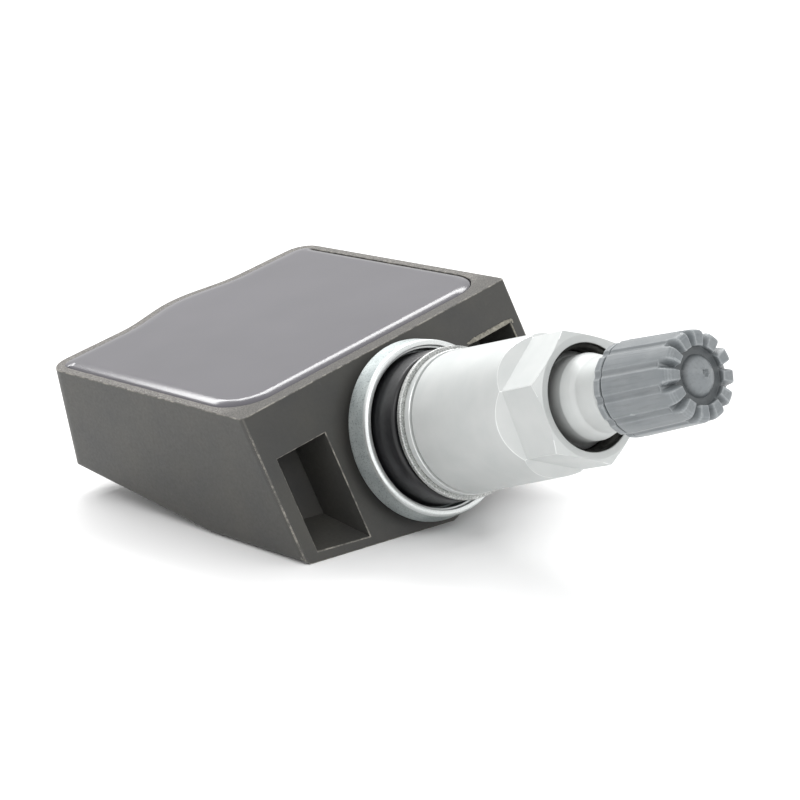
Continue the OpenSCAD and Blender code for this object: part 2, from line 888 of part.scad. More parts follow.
module collar_nut() {
    color("#d2d4d2")
        on_stem()
            difference() {
                rotate_extrude()
                    polygon([
                        [0, nut_start], [ring_r, nut_start], [ring_r, nut_start + ring_w],
                        [sleeve_back_r - nut_groove_d, nut_start + ring_w],
                        [sleeve_back_r - nut_groove_d, groove_end], [sleeve_back_r, groove_end],
                        [sleeve_front_r, flat_at],
                        [sleeve_front_r, nut_end - (sleeve_front_r - hex_af / 2) * tan(chamfer_angle)],
                        [hex_af / 2, nut_end], [0, nut_end]
                    ]);
                flat_cuts();
                translate([0, 0, nut_start - eps])
                    cylinder(r = nut_bore_r, h = far);
                translate([0, 0, nut_start - eps])
                    cylinder(r = counter_r, h = counter_d + eps);
            }
}

// Repeats a cut between all neighbouring ribs
module between_ribs() {
    for (k = [0 : teeth - 1])
        rotate([0, 0, rib_turn + 360 / teeth * (k + 0.5)])
            children();
}

// A slot between two teeth, its floor sloping outwards and down
module tooth_cut() {
    translate([recess_r, 0, recess_floor])
        rotate([0, slot_slope, 0])
            translate([-recess_d, -tooth_slot / 2, 0])
                cube([2 * body_back_r, tooth_slot, body_back_r]);
}

// A fine groove between two ribs, and the notch in line with it
module rib_cut() {
    translate([body_back_r - rib_groove_d + rib_groove_r, 0, body_start])
        rotate([0, -body_taper, 0])
            translate([0, 0, -cap_groove_w])
                cylinder(r = rib_groove_r, h = cap_end);
    translate([flange_r - notch_d + notch_r, 0, cap_start - eps])
        cylinder(r = notch_r, h = flange_t + 2 * eps);
}

module valve_cap() {
    color("#8c9193")
        on_stem()
            difference() {
                union() {
                    rotate_extrude()
                        polygon(concat(
                            [[0, cap_start], [flange_r, cap_start], [flange_r, cap_start + flange_t],
                                [cap_groove_r, cap_start + flange_t], [cap_groove_r, body_start],
                                [body_back_r, body_start]],
                            arc([body_front_r - cap_round, cap_end - cap_round], cap_round, 0, 90),
                            [[recess_r, cap_end], [recess_r, recess_floor], [0, recess_floor]]
                        ));
                    dome();
                }
                between_ribs() {
                    tooth_cut();
                    rib_cut();
                }
                translate([0, 0, cap_start - eps])
                    cylinder(r = cap_bore_r, h = cap_inner_end - cap_start + eps);
                translate([0, 0, recess_floor + dome_h + dimple_r / 3])
                    sphere(r = dimple_r);
            }
}

// The low dome in the cap's end, cut from a ball
module dome() {
    ball_r = (pow(dome_r, 2) + pow(dome_h, 2)) / (2 * dome_h);
    intersection() {
        translate([0, 0, recess_floor + dome_h - ball_r])
            sphere(r = ball_r);
        translate([0, 0, recess_floor - eps / 2])
            cylinder(r = recess_r, h = recess_d);
    }
}

module cap_gasket() {
    color("#202022")
        on_stem()
            translate([0, 0, gasket_start])
                cylinder(r = gasket_r, h = gasket_t);
}

module core_barrel() {
    color("#c9a24a")
        on_stem()
            difference() {
                rotate_extrude()
                    polygon([
                        [0, tube_end], [tube_r, tube_end], [tube_r, head_end - wire_r],
                        [core_head_r, head_end], [core_head_r, core_top], [0, core_top]
                    ]);
                translate([0, 0, tube_end + tube_end_t])
                    cylinder(r = spring_room_r, h = tube_l - tube_end_t);
                translate([0, 0, tube_end - eps])
                    cylinder(r = pin_r + pin_gap, h = far);
            }
}

module core_gasket() {
    color("#a0322c")
        on_stem()
            translate([0, 0, seat_bore_start - core_gasket_h - fill_gap])
                difference() {
                    cylinder(r = seat_bore_r - fill_gap, h = core_gasket_h);
                    translate([0, 0, -eps])
                        cylinder(r = tube_r + fill_gap, h = core_gasket_h + 2 * eps);
                }
}

module core_pin() {
    color("#c9a24a")
        on_stem() {
            translate([0, 0, pin_seat_start])
                cylinder(r = pin_r, h = pin_tip - pin_seat_start);
            translate([0, 0, collar_start])
                cylinder(r = collar_r, h = collar_t);
        }
}

module core_seat() {
    color("#202022")
        on_stem()
            translate([0, 0, pin_seat_start])
                difference() {
                    cylinder(r = pin_seat_r, h = pin_seat_t);
                    translate([0, 0, -eps])
                        cylinder(r = pin_r + fill_gap, h = pin_seat_t + 2 * eps);
                }
}

// The spring's wire as a swept tube: rings of six points along a helix
module core_spring() {
    sides = 6;
    per_turn = 12;
    rings = spring_turns * per_turn;
    coil_r = (pin_r + pin_gap + spring_room_r) / 2;
    rise = (spring_end - spring_start) / rings;
    points = [for (i = [0 : rings]) for (j = [0 : sides - 1])
        let (a = 360 * i / per_turn, b = 360 * j / sides, r = coil_r + wire_r * cos(b))
            [r * cos(a), r * sin(a), spring_start + rise * i + wire_r * sin(b)]];
    walls = [for (i = [0 : rings - 1]) for (j = [0 : sides - 1])
        let (here = sides * i, next = sides * (i + 1), k = (j + 1) % sides)
            each [[here + j, here + k, next + k], [here + j, next + k, next + j]]];
    ends = [[for (j = [sides - 1 : -1 : 0]) j], [for (j = [0 : sides - 1]) sides * rings + j]];
    color("#b8babc")
        on_stem()
            polyhedron(points = points, faces = concat(walls, ends));
}

housing();
potting();
circuit_board();
battery();
battery_tab_top();
battery_tab_bottom();
sensor_chip();
radio_chip();
crystal();
capacitors();
wake_coil_core();
wake_coil_winding();
antenna_strap();
port_filter();
valve_stem();
seal_cup();
rubber_grommet();
nut_washer();
collar_nut();
valve_cap();
cap_gasket();
core_barrel();
core_gasket();
core_pin();
core_seat();
core_spring();
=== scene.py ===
"""Looks of a tyre pressure sensor with a metal valve stem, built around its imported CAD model.

The stem's pieces are turned in the stem's frame: Z runs outwards along the stem from the point
where its axis meets the housing's front face. Sizes are in millimetres until a mesh is made.
"""

import math

import bmesh
import bpy
import numpy as np
from mathutils import Matrix, Vector, noise


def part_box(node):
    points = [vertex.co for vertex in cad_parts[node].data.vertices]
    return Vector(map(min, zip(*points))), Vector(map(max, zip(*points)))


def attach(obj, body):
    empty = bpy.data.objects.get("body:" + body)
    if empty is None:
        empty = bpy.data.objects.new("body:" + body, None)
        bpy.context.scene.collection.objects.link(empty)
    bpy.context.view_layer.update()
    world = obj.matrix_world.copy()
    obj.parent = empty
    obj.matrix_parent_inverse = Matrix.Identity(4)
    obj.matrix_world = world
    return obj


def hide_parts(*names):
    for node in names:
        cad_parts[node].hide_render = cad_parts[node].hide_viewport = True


MM = 0.001

# CAD vertices closer than this are one
MERGE_D = 0.002

# Columns of the turned meshes
CUP_COLUMNS = 288
GROMMET_COLUMNS = 240
WASHER_COLUMNS = 256
NUT_COLUMNS = 288
BORE_COLUMNS = 160
STEM_COLUMNS = 192
CAP_COLUMNS = 360

# Threads: how steeply they fall from the crest, how wide the crest stays flat, and steps a turn
THREAD_FALL = 2.6
THREAD_CREST = 0.15
THREAD_STEPS = 8

# The housing's driving sizes and the worn rounds on its edges sharper than WORN_FROM degrees
BODY_W = 45.1
SIDE_H = 18.9
FACET_ANGLE = 11.4
FACE_TILT = 18.4
BOARD_Y = 10.8
BOARD_L = 24
SEAT_V = 11.55
EDGE_R = 0.12
WORN_FROM = 30
UNDER_CUP_D = 3
RIM_DEPTH = 0.35

# The right pocket's mouth and the moulding flash along its edge
POCKET_RIGHT = 20.55
POCKET_LEFT = 12.45
POCKET_TOP = -5.4
FLASH_W = 0.3
FLASH_H = 0.16
FLASH_REACH = 0.4

# The resin's crown, its lap over the rim and how far its flat top stands over the fill
CROWN_W = 1.75
CROWN_H = 0.26
CROWN_STEPS = 14
CROWN_POWER = 2.2
LIP_RISE = 0.11
FILL_SINK = 0.3
LAP_FRONT = 0.03
LAP_BACK = 0.35

# The seal's cup and its rubber
CUP_BACK = 1.5
CUP_END = 4.6
CUP_BACK_R = 11.3
CUP_FRONT_R = 10.75
CUP_INNER_R = 10.05
CUP_FLOOR = 0.9
CUP_ROUND = 0.6
LIP_W = 0.3
LIP_SINK = 0.5
STEM_HOLE_R = 5.67
GROMMET_R = 9.5
GROMMET_FRONT_R = 9.2
GROMMET_END = 7.9

# The collar nut and its washer. Edges sharper than BURNISHED_FROM degrees get chamfers NUT_EDGE wide, up
# to the station NUT_EDGE_END, because beyond it the flats run out and the chamfers would fold over
WASHER_START = 8.7
WASHER_R = 9.3
NUT_START = 9.35
NUT_END = 32.5
RING_R = 8.78
RING_W = 1.05
NUT_GROOVE = 0.3
SLEEVE_BACK_R = 8.62
SLEEVE_FRONT_R = 8.28
HEX_AF = 14
HEX_TURN = -3.3
FLAT_AT = 26.8
SHOULDER_ANGLE = 46
CHAMFER_ANGLE = 30
BURNISHED_FROM = 28
NUT_EDGE = 0.05
NUT_EDGE_END = 32.25
COUNTER_R = 6.4
COUNTER_D = 3
NUT_BORE_R = 5.7
NUT_PITCH = 1.0
NUT_THREAD_D = 0.42

# The valve stem
SHANK_R = 5.62
SHANK_END = 30.4
LAND_R = 4.94
LAND_END = 33
STEP_R = 4.57
STEP_AT = 34.2
NECK_R = 4.3
NECK_END = 37.6
VALVE_R = 3.85
VALVE_PITCH = 0.794
VALVE_THREAD_D = 0.36
STEM_END = 47.4
ROOT_R = 6.6
GROOVE_R = 5
ROOT_D = 7.6
ROOT_L = 2.6
SHOULDER_D = 1.8
AIR_R = 1.2
AIR_END = 0.75
CORE_BORE_R = 2.65
CORE_BORE_L = 8.4
SEAT_BORE_R = 2.15
AIR_START = 28.54

# The valve cap
CAP_START = 38.9
CAP_END = 50.28
CAP_SKIN = 0.02
CAP_BORE_R = 3.95
CAP_INNER_END = 48.5
FLANGE_R = 5.35
FLANGE_T = 1
CAP_GROOVE_W = 0.3
CAP_GROOVE_R = 4.95
CAP_BACK_R = 5.36
CAP_FRONT_R = 4.98
CAP_ROUND = 1
TEETH = 12
RIB_TURN = 6
SLOT_INNER_W = 0.45
SLOT_OUTER_W = 1
TOOTH_ROUND = 0.5
SLOT_SLOPE = 24
RECESS_R = 3.16
RECESS_D = 0.75
DOME_R = 2.35
DOME_H = 1.3
DOME_STEPS = 40
DIMPLE_AT = (0.05, 0.18)
DIMPLE_R = 0.36
DIMPLE_D = 0.28
RIB_GROOVE_R = 0.5
RIB_GROOVE_D = 0.2
NOTCH_R = 0.6
NOTCH_D = 0.3

# The floor's half width in metres and the sky's strength
FLOOR_HALF = 8
SKY = 1.02

# The camera: where it stands, which way it looks, its roll and its lens
CAMERA_AT = (-178.5, -190.9, 87.3)
CAMERA_TURN = 42.56
CAMERA_DOWN = 15.31
CAMERA_ROLL = 2.52
LENS = 100.3
SENSOR = 36


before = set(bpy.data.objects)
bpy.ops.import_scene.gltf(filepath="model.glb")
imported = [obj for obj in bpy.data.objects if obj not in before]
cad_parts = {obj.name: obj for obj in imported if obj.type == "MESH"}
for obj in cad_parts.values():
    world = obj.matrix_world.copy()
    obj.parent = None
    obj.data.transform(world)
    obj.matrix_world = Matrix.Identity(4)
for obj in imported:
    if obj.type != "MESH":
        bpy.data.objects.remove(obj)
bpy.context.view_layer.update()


def sensor_place():
    """The sensor's own frame, its origin in the middle of the top front edge, in the resting frame."""
    half = BODY_W / 2
    facet = math.radians(FACET_ANGLE)
    ridge_z = SIDE_H * math.cos(math.radians(FACE_TILT)) + half * math.tan(facet)
    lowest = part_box("housing")[0]
    board_low, board_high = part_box("circuit_board")
    origin = Vector((
        lowest.x / MM + half * math.cos(facet),
        (board_low.y + board_high.y) / 2 / MM - BOARD_Y - BOARD_L / 2,
        ridge_z * math.cos(facet),
    ))
    return Matrix.Translation(origin * MM) @ Matrix.Rotation(-facet, 4, "Y")


def stem_place():
    """The stem's frame in the resting frame."""
    tilt = math.radians(FACE_TILT)
    seat = Vector((0, -SEAT_V * math.sin(tilt), -SEAT_V * math.cos(tilt)))
    return sensor_place() @ Matrix.Translation(seat * MM) @ Matrix.Rotation(math.pi / 2 - tilt, 4, "X")


SENSOR_PLACE = sensor_place()
STEM_PLACE = stem_place()
FACE_PLACE = SENSOR_PLACE @ Matrix.Rotation(math.pi / 2 - math.radians(FACE_TILT), 4, "X")


def rounded(corners, steps=4):
    """An outline through (radius, station, rounding) corners, each corner blended over its rounding."""
    points = []
    for i, (radius, station, rounding) in enumerate(corners):
        here = Vector((radius, station))
        if rounding == 0:
            points.append(here)
            continue
        before = Vector(corners[i - 1][:2]) - here
        after = Vector(corners[(i + 1) % len(corners)][:2]) - here
        cut = rounding * math.tan((math.pi - before.angle(after)) / 2)
        cut = min(cut, 0.48 * before.length, 0.48 * after.length)
        start = here + before.normalized() * cut
        end = here + after.normalized() * cut
        for k in range(steps + 1):
            t = k / steps
            points.append(start * (1 - t) ** 2 + here * 2 * t * (1 - t) + end * t * t)
    return points


def divided(points, step_at):
    """The outline with each stretch cut into steps no longer than step_at says for its two ends."""
    cut = [points[0]]
    for here, after in zip(points, points[1:]):
        count = max(1, math.ceil((after - here).length / step_at(here, after)))
        cut += [here.lerp(after, (k + 1) / count) for k in range(count)]
    return cut


def turned(name, outline, columns, shape=None):
    """A closed mesh: an outline turned about Z. An outline that starts on the axis also ends on it."""
    on_axis = outline[0].x < 1e-6
    rings = outline[1:-1] if on_axis else outline
    angle = np.arange(columns) * 2 * math.pi / columns
    radius = np.repeat(np.array([[p.x] for p in rings]), columns, axis=1)
    station = np.repeat(np.array([[p.y] for p in rings]), columns, axis=1)
    if shape:
        radius, station = shape(radius, station, angle)
    grid = np.stack([radius * np.cos(angle), radius * np.sin(angle), station], axis=-1)
    rows = len(rings)
    index = np.arange(rows * columns).reshape(rows, columns)
    beside = np.roll(index, -1, axis=1)
    last = rows - 1 if on_axis else rows
    above, above_beside = np.roll(index, -1, axis=0), np.roll(beside, -1, axis=0)
    faces = np.stack([index, beside, above_beside, above], axis=-1)[:last].reshape(-1, 4).tolist()
    points = grid.reshape(-1, 3).tolist()
    if on_axis:
        for end, row in ((outline[0], 0), (outline[-1], rows - 1)):
            points.append([0, 0, end.y])
            faces += [[int(index[row, j]), int(beside[row, j]), len(points) - 1] for j in range(columns)]
    mesh = bpy.data.meshes.new(name)
    mesh.from_pydata(points, [], faces)
    mesh.transform(Matrix.Scale(MM, 4))
    face_outwards(mesh)
    return mesh


def face_outwards(mesh):
    """Turn the mesh's faces outwards."""
    work = bmesh.new()
    work.from_mesh(mesh)
    bmesh.ops.recalc_face_normals(work, faces=work.faces)
    work.to_mesh(mesh)
    work.free()


def soft_min(a, b, blend):
    """The smaller of two radii, rounded where they cross."""
    return (a + b - np.sqrt((a - b) ** 2 + blend ** 2)) / 2


def smooth_step(x):
    """A smooth rise from 0 to 1 while x goes from 0 to 1."""
    x = np.clip(x, 0, 1)
    return x * x * (3 - 2 * x)


def screw_depth(station, angle, pitch):
    """How far into a thread each point lies, from 0 on the crest to 1 at the root."""
    phase = (station / pitch - angle / (2 * math.pi)) % 1
    return np.clip(abs(phase - 0.5) * THREAD_FALL - THREAD_CREST, 0, 1)


def add_piece(name, mesh, place, material, body, replaced=None, crease=40):
    """A finished mesh, moved to its place, as a piece of the object that rides on a body."""
    mesh.transform(place)
    mesh.materials.clear()
    mesh.materials.append(material)
    mesh.polygons.foreach_set("use_smooth", [True] * len(mesh.polygons))
    mesh.set_sharp_from_angle(angle=math.radians(crease))
    piece = bpy.data.objects.new(name, mesh)
    bpy.context.scene.collection.objects.link(piece)
    normals = piece.modifiers.new("even_normals", "WEIGHTED_NORMAL")
    normals.keep_sharp = True
    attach(piece, body)
    if replaced:
        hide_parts(replaced)
    return piece


def node(tree, kind, inputs=None, **settings):
    """A shader node with its settings made and its inputs set or linked."""
    made = tree.nodes.new("ShaderNode" + kind)
    for key, value in settings.items():
        setattr(made, key, value)
    for key, value in (inputs or {}).items():
        if isinstance(value, bpy.types.NodeSocket):
            tree.links.new(value, made.inputs[key])
        else:
            made.inputs[key].default_value = value
    return made


def linear(rgb):
    """A display colour of 0 to 255 as a linear colour with alpha."""
    shares = [c / 255 for c in rgb]
    return (*(s / 12.92 if s <= 10 / 255 else ((s + 0.055) / 1.055) ** 2.4 for s in shares), 1)


def shader(name, on_stem=False):
    """A new material, its tree, its main shader and its coordinates in millimetres.

    With on_stem the coordinates are those of the stem's frame.
    """
    material = bpy.data.materials.new(name)
    material.use_nodes = True
    tree = material.node_tree
    main = tree.nodes["Principled BSDF"]
    place = node(tree, "TexCoord").outputs["Object"]
    if on_stem:
        back = STEM_PLACE.inverted()
        inputs = {"Vector": place, "Location": back.translation, "Rotation": back.to_euler()}
        place = node(tree, "Mapping", inputs).outputs["Vector"]
    scaled = node(tree, "VectorMath", {0: place, "Scale": 1 / MM}, operation="SCALE").outputs[0]
    return material, tree, main, scaled


def noise_of(tree, place, size, detail=2, roughness=0.5, stretch=None):
    """Noise whose blotches are about size millimetres across, from 0 to 1."""
    if stretch:
        place = node(tree, "VectorMath", {0: place, 1: stretch}, operation="MULTIPLY").outputs[0]
    made = node(tree, "TexNoise", {
        "Vector": place, "Scale": 1 / size, "Detail": detail, "Roughness": roughness,
    })
    return made.outputs["Fac"]


def between(tree, factor, low, high, start=0.3, end=0.7):
    """The factor's stretch from start to end mapped to low to high."""
    made = node(tree, "MapRange", {
        "Value": factor, "From Min": start, "From Max": end, "To Min": low, "To Max": high,
    })
    return made.outputs["Result"]


def tinted(tree, factor, first, second, start=0.3, end=0.7):
    """A colour between two display colours."""
    share = between(tree, factor, 0, 1, start, end)
    inputs = {"Factor": share, "A": linear(first), "B": linear(second)}
    made = node(tree, "Mix", inputs, data_type="RGBA")
    return made.outputs["Result"]


def set_mix(tree, factor, first, second):
    """A mix of two colour sockets."""
    made = node(tree, "Mix", {"Factor": factor}, data_type="RGBA")
    tree.links.new(first, made.inputs[6])
    tree.links.new(second, made.inputs[7])
    return made.outputs[2]


def bump(tree, height, distance, strength=1.0, normal=None):
    """A bump of so many millimetres."""
    inputs = {"Height": height, "Distance": distance * MM, "Strength": strength}
    if normal:
        inputs["Normal"] = normal
    return node(tree, "Bump", inputs).outputs["Normal"]


def link(tree, main, **sockets):
    """Set or link the main shader's inputs, named with _ for each space."""
    for key, value in sockets.items():
        name = key.replace("_", " ")
        if isinstance(value, bpy.types.NodeSocket):
            tree.links.new(value, main.inputs[name])
        else:
            main.inputs[name].default_value = value


def moulded(name, dark, light, roughness=0.5, grain=0.01, size=0.35):
    """Moulded plastic or rubber with cloudy colour and a fine grain."""
    material, tree, main, place = shader(name)
    clouds = noise_of(tree, place, 4, 3)
    fine = noise_of(tree, place, size, 4, 0.6)
    link(
        tree, main,
        Base_Color=tinted(tree, clouds, dark, light),
        Roughness=between(tree, fine, roughness - 0.06, roughness + 0.06),
        Normal=bump(tree, fine, grain),
    )
    return material


def metal(name, dark, light, roughness=0.3, grain=0.004, size=0.25):
    """Bare or plated metal with faint blotches."""
    material, tree, main, place = shader(name)
    clouds = noise_of(tree, place, 1.6, 3)
    fine = noise_of(tree, place, size, 3, 0.6)
    link(
        tree, main,
        Base_Color=tinted(tree, clouds, dark, light),
        Metallic=1.0,
        Roughness=between(tree, fine, roughness - 0.04, roughness + 0.05),
        Normal=bump(tree, fine, grain),
    )
    return material


def turned_metal(name, dark, light, roughness):
    """Satin aluminium with a fine grain and faint turning marks round the stem's axis."""
    material, tree, main, place = shader(name, on_stem=True)
    rings = noise_of(tree, place, 1, 3, 0.6, stretch=(0.02, 0.02, 7))
    grain = noise_of(tree, place, 0.12, 2, 0.5)
    clouds = noise_of(tree, place, 3, 2)
    marks = bump(tree, rings, 0.0012, 0.5)
    link(
        tree, main,
        Base_Color=tinted(tree, clouds, dark, light),
        Metallic=0.6,
        Roughness=between(tree, rings, roughness - 0.02, roughness + 0.04),
        Normal=bump(tree, grain, 0.0015, 0.5, marks),
    )
    return material


def speckled_metal(name, dark, light, roughness=0.5, share=0.5):
    """Zinc plating with fine darker and lighter specks."""
    material, tree, main, place = shader(name)
    specks = noise_of(tree, place, 0.16, 3, 0.75)
    clouds = noise_of(tree, place, 2.5, 3)
    flakes = node(tree, "TexVoronoi", {"Vector": place, "Scale": 5.0})
    plain = tinted(tree, clouds, dark, light)
    specked = tinted(tree, specks, (104, 110, 110), (236, 238, 236), 0.4, 0.62)
    on_flake = between(tree, flakes.outputs["Distance"], 0, share, 0.1, 0.7)
    link(
        tree, main,
        Base_Color=set_mix(tree, on_flake, plain, specked),
        Metallic=1.0,
        Roughness=between(tree, specks, roughness - 0.06, roughness + 0.08),
        Normal=bump(tree, specks, 0.016),
    )
    return material


def cup_plating():
    """Zinc plating of the cup: darker specks on its wall, and a smooth lip at its mouth painted brighter
    as a painted highlight.
    """
    material, tree, main, place = shader("cup_plating", on_stem=True)
    specks = noise_of(tree, place, 0.16, 3, 0.75)
    clouds = noise_of(tree, place, 2.5, 3)
    station = node(tree, "SeparateXYZ", {0: place}).outputs["Z"]
    lip = between(tree, station, 0, 1, CUP_END - CUP_ROUND - 0.1, CUP_END - CUP_ROUND + 0.15)
    dark = between(tree, specks, 0, 1, 0.54, 0.64)
    wall = set_mix(tree, dark, tinted(tree, clouds, (166, 173, 173), (188, 194, 193)),
                   tinted(tree, clouds, (112, 119, 119), (132, 138, 138)))
    # The lip's brighter colour is a painted highlight; its lower roughness is the lip's own.
    lip_highlight = tinted(tree, specks, (214, 219, 218), (240, 242, 241))
    link(
        tree, main,
        Base_Color=set_mix(tree, lip, wall, lip_highlight),
        Metallic=0.9,
        Roughness=between(tree, lip, 0.55, 0.34, 0, 1),
        Normal=bump(tree, specks, 0.014),
    )
    return material


def resin():
    """Lilac-grey potting resin with a clear glossy skin."""
    material, tree, main, place = shader("potting_resin")
    clouds = noise_of(tree, place, 14, 2)
    waves = noise_of(tree, place, 9, 1)
    link(
        tree, main,
        Base_Color=tinted(tree, clouds, (75, 73, 79), (81, 79, 85)),
        Roughness=0.5,
        Specular_IOR_Level=0.1,
        Coat_Weight=0.85,
        Coat_Roughness=0.17,
        Normal=bump(tree, waves, 0.012, 0.4),
    )
    return material


def housing_plastic():
    """Dark glass-filled plastic with a cloudy, slightly scuffed skin."""
    material, tree, main, place = shader("housing_plastic")
    clouds = noise_of(tree, place, 7, 4, 0.55)
    fine = noise_of(tree, place, 0.4, 4, 0.65)
    scuffs = noise_of(tree, place, 1.2, 5, 0.7, stretch=(1, 0.35, 1))
    plain = tinted(tree, clouds, (57, 57, 56), (65, 64, 60))
    pale = tinted(tree, fine, (72, 72, 70), (84, 83, 80))
    link(
        tree, main,
        Base_Color=set_mix(tree, between(tree, scuffs, 0, 0.4, 0.6, 0.8), plain, pale),
        Roughness=between(tree, fine, 0.46, 0.6),
        Normal=bump(tree, fine, 0.01),
    )
    return material


def worn_and_highlit_edge():
    """The housing's edges, pale in patches: partly wear from rubbing and partly a painted highlight."""
    material, tree, main, place = shader("housing_edge")
    patches = noise_of(tree, place, 1.6, 5, 0.75)
    fine = noise_of(tree, place, 0.22, 3, 0.7)
    plain = tinted(tree, fine, (70, 69, 66), (84, 82, 78))
    # The pale colour is partly wear and partly a painted highlight along the edges.
    pale = tinted(tree, fine, (108, 105, 99), (160, 156, 147))
    link(
        tree, main,
        Base_Color=set_mix(tree, between(tree, patches, 0, 0.9, 0.44, 0.6), plain, pale),
        Roughness=0.6,
        Normal=bump(tree, fine, 0.02),
    )
    return material


def scraped_rim():
    """The housing's rim, rough and pale where the moulding was trimmed and darker along the front."""
    material, tree, main, place = shader("housing_rim")
    streaks = noise_of(tree, place, 0.5, 5, 0.75)
    specks = noise_of(tree, place, 0.16, 3, 0.7)
    plain = tinted(tree, streaks, (72, 70, 67), (108, 105, 101), 0.35, 0.62)
    pale = tinted(tree, specks, (108, 106, 102), (180, 176, 170))
    dark = tinted(tree, specks, (62, 61, 58), (98, 95, 90), 0.4, 0.7)
    front = SENSOR_PLACE.translation.y / MM
    depth = node(tree, "SeparateXYZ", {0: place}).outputs["Y"]
    trimmed = set_mix(tree, between(tree, specks, 0, 0.7, 0.5, 0.66), plain, pale)
    link(
        tree, main,
        Base_Color=set_mix(tree, between(tree, depth, 0.85, 0, front + 2.4, front + 5), trimmed, dark),
        Roughness=0.7,
        Normal=bump(tree, streaks, 0.05),
    )
    return material


def torn_flash():
    """Pale rough plastic of the moulding flash."""
    material, tree, main, place = shader("moulding_flash")
    lumps = noise_of(tree, place, 0.5, 4, 0.7)
    fine = noise_of(tree, place, 0.12, 3, 0.7)
    link(
        tree, main,
        Base_Color=tinted(tree, lumps, (104, 101, 92), (152, 149, 137), 0.36, 0.64),
        Roughness=0.65,
        Normal=bump(tree, fine, 0.04),
    )
    return material


def ribbed_plastic(dark, light):
    """The cap's grey plastic: lengthwise streaks, pale edges that are partly wear from rubbing and
    partly a painted highlight, and painted shade in its hollows and in the recess of its end.
    """
    material, tree, main, place = shader("cap_plastic", on_stem=True)
    clouds = noise_of(tree, place, 3, 3)
    streaks = noise_of(tree, place, 0.3, 4, 0.65, stretch=(1, 1, 0.07))
    fine = noise_of(tree, place, 0.16, 3, 0.6)
    curve = node(tree, "NewGeometry").outputs["Pointiness"]
    flat = node(tree, "VectorMath", {0: place, 1: (1, 1, 0)}, operation="MULTIPLY").outputs[0]
    from_axis = node(tree, "VectorMath", {0: flat}, operation="LENGTH").outputs["Value"]
    off_dome = between(tree, from_axis, 0, 1, DOME_R + 0.3, DOME_R + 0.6)
    station = node(tree, "SeparateXYZ", {0: place}).outputs["Z"]
    deep = between(tree, station, 1, 0, CAP_END - RECESS_D + 0.15, CAP_END - RECESS_D + 0.6)
    inside = between(tree, from_axis, 1, 0, RECESS_R, RECESS_R + 0.15)
    recess = node(tree, "Math", {0: deep, 1: inside}, operation="MULTIPLY").outputs[0]
    plain = tinted(tree, clouds, dark, light)
    streak = tinted(tree, fine, (96, 100, 102), (106, 110, 112))
    pale_edge_wear_and_highlight = tinted(tree, fine, (138, 143, 145), (166, 170, 172))
    painted_shade = tinted(tree, fine, (74, 78, 80), (84, 88, 90))
    colour = set_mix(tree, between(tree, streaks, 0, 0.5, 0.48, 0.66), plain, streak)
    # Convex edges painted pale, partly wear from rubbing and partly a painted highlight; concave creases
    # painted dark as painted shade.
    for share, shade in ((between(tree, curve, 0, 0.7, 0.506, 0.545), pale_edge_wear_and_highlight),
                         (between(tree, curve, 0.75, 0, 0.45, 0.494), painted_shade)):
        share = node(tree, "Math", {0: share, 1: off_dome}, operation="MULTIPLY").outputs[0]
        colour = set_mix(tree, share, colour, shade)
    # Painted shade on the recess floor and the foot of the dome.
    colour = set_mix(tree, recess, colour, painted_shade)
    grooves = bump(tree, streaks, 0.03, 0.6)
    link(
        tree, main,
        Base_Color=colour,
        Roughness=between(tree, fine, 0.32, 0.46),
        Normal=bump(tree, fine, 0.008, 1.0, grooves),
    )
    return material


def cad_mesh(name):
    """A CAD node's mesh as a bmesh, its flat regions made one face each."""
    work = bmesh.new()
    work.from_mesh(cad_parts[name].data)
    bmesh.ops.remove_doubles(work, verts=work.verts, dist=MERGE_D * MM)
    bmesh.ops.dissolve_limit(work, angle_limit=math.radians(1), verts=work.verts, edges=work.edges)
    work.normal_update()
    return work


def finished_mesh(work, name):
    """The bmesh as a mesh, its faces turned outwards so that its signed volume is positive."""
    bmesh.ops.recalc_face_normals(work, faces=work.faces)
    if work.calc_volume(signed=True) < 0:
        bmesh.ops.reverse_faces(work, faces=work.faces)
    mesh = bpy.data.meshes.new(name)
    work.to_mesh(mesh)
    work.free()
    return mesh


def make_housing(plastic, edge_wear_and_highlight, rim):
    """The moulded housing with small rounds on its edges, their pale patches partly wear and partly a
    painted highlight, and a scraped rim.
    """
    work = cad_mesh("housing")
    to_stem = STEM_PLACE.inverted()

    def under_cup(edge):
        at = to_stem @ edge.verts[0].co / MM
        return math.hypot(at.x, at.y) < CUP_BACK_R and abs(at.z) < UNDER_CUP_D

    edges = [e for e in work.edges if len(e.link_faces) == 2 and e.is_convex and not under_cup(e)]
    edges = [e for e in edges if e.calc_face_angle() > math.radians(WORN_FROM)]
    bmesh.ops.bevel(
        work, geom=edges, offset=EDGE_R * MM, segments=2, profile=0.5, affect="EDGES", material=1,
    )
    mesh = finished_mesh(work, "housing_mesh")
    on_edge = [face.material_index == 1 for face in mesh.polygons]
    piece = add_piece("sensor_housing", mesh, Matrix(), plastic, "sensor", "housing")
    mesh.materials.append(edge_wear_and_highlight)
    mesh.materials.append(rim)
    up = SENSOR_PLACE.to_3x3() @ Vector((0, 0, 1))
    origin = SENSOR_PLACE.translation
    for face, worn_and_highlit_edge in zip(mesh.polygons, on_edge):
        if worn_and_highlit_edge:
            face.material_index = 1
        elif face.normal.dot(up) > 0.9 and (face.center - origin).dot(up) > -RIM_DEPTH * MM:
            face.material_index = 2
    return piece


